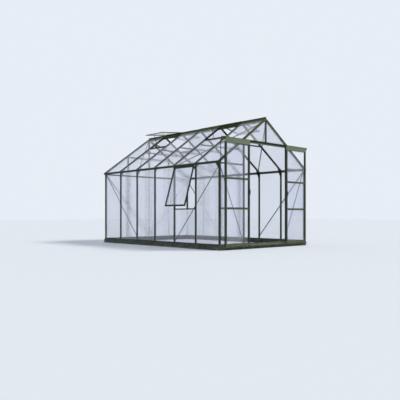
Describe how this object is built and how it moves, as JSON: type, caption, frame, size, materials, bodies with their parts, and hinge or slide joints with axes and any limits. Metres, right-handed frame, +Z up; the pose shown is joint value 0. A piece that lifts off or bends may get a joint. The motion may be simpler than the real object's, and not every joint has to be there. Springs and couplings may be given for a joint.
{
  "type": "polycarbonate greenhouse",
  "caption": "Span-roof garden greenhouse with twin wall polycarbonate glazing, sliding double doors in the front gable, roof vents and a top hung side window.",
  "frame": {"origin": "on the ground under the middle of the front gable, on the underside of its base rail", "axes": "+X to the right across the front gable, +Y back along the ridge, +Z up"},
  "size_m": [2.7911, 3.8655, 2.519],
  "materials": {
    "frame_green": "dark green powder coat, satin",
    "rail_green": "lighter green powder coat, satin, of the door hangers and sills",
    "base_steel": "dark painted steel",
    "polycarbonate": "translucent twin wall polycarbonate, fluted along its length",
    "nylon": "black nylon",
    "handle_plastic": "dark moulded plastic"
  },
  "bodies": {
    "frame": {"side_base_rails": "base_steel", "gable_base_rails": "base_steel", "side_sills": "rail_green", "gable_sills": "rail_green", "corner_posts": "frame_green", "eave_beams": "frame_green", "ridge_beam": "frame_green", "left_wall_bars": "frame_green", "right_wall_bars": "frame_green", "left_roof_bars": "frame_green", "right_roof_bars": "frame_green", "gable_rafters": "frame_green", "front_gable_studs": "frame_green", "rear_gable_studs": "frame_green", "front_gable_rails": "frame_green", "rear_gable_rails": "frame_green", "collar_ties": "frame_green", "eave_brackets": "frame_green", "wall_braces": "frame_green", "roof_braces": "frame_green", "left_wall_glazing": "polycarbonate", "right_wall_glazing": "polycarbonate", "front_gable_glazing": "polycarbonate", "rear_gable_glazing": "polycarbonate", "left_roof_glazing": "polycarbonate", "right_roof_glazing": "polycarbonate", "opening_sills": "frame_green", "roof_vent_frames": "frame_green", "roof_vent_panes": "polycarbonate", "side_window_frame": "frame_green", "side_window_pane": "polycarbonate", "opening_stays": "frame_green", "door_track": "rail_green"},
    "left_door": {"left_door_stiles": "frame_green", "left_door_rails": "frame_green", "left_door_panes": "polycarbonate", "left_door_hanger": "rail_green", "left_door_rollers": "nylon", "left_door_handle": "handle_plastic"},
    "right_door": {"right_door_stiles": "frame_green", "right_door_rails": "frame_green", "right_door_panes": "polycarbonate", "right_door_hanger": "rail_green", "right_door_rollers": "nylon", "right_door_handle": "handle_plastic"}
  },
  "joints": [
    {"name": "left_door_slide", "type": "slide", "parent": "frame", "child": "left_door", "axis": [-1, 0, 0], "range_m": [-0.532, 0.03]},
    {"name": "right_door_slide", "type": "slide", "parent": "frame", "child": "right_door", "axis": [1, 0, 0], "range_m": [-0.532, 0.03]}
  ]
}
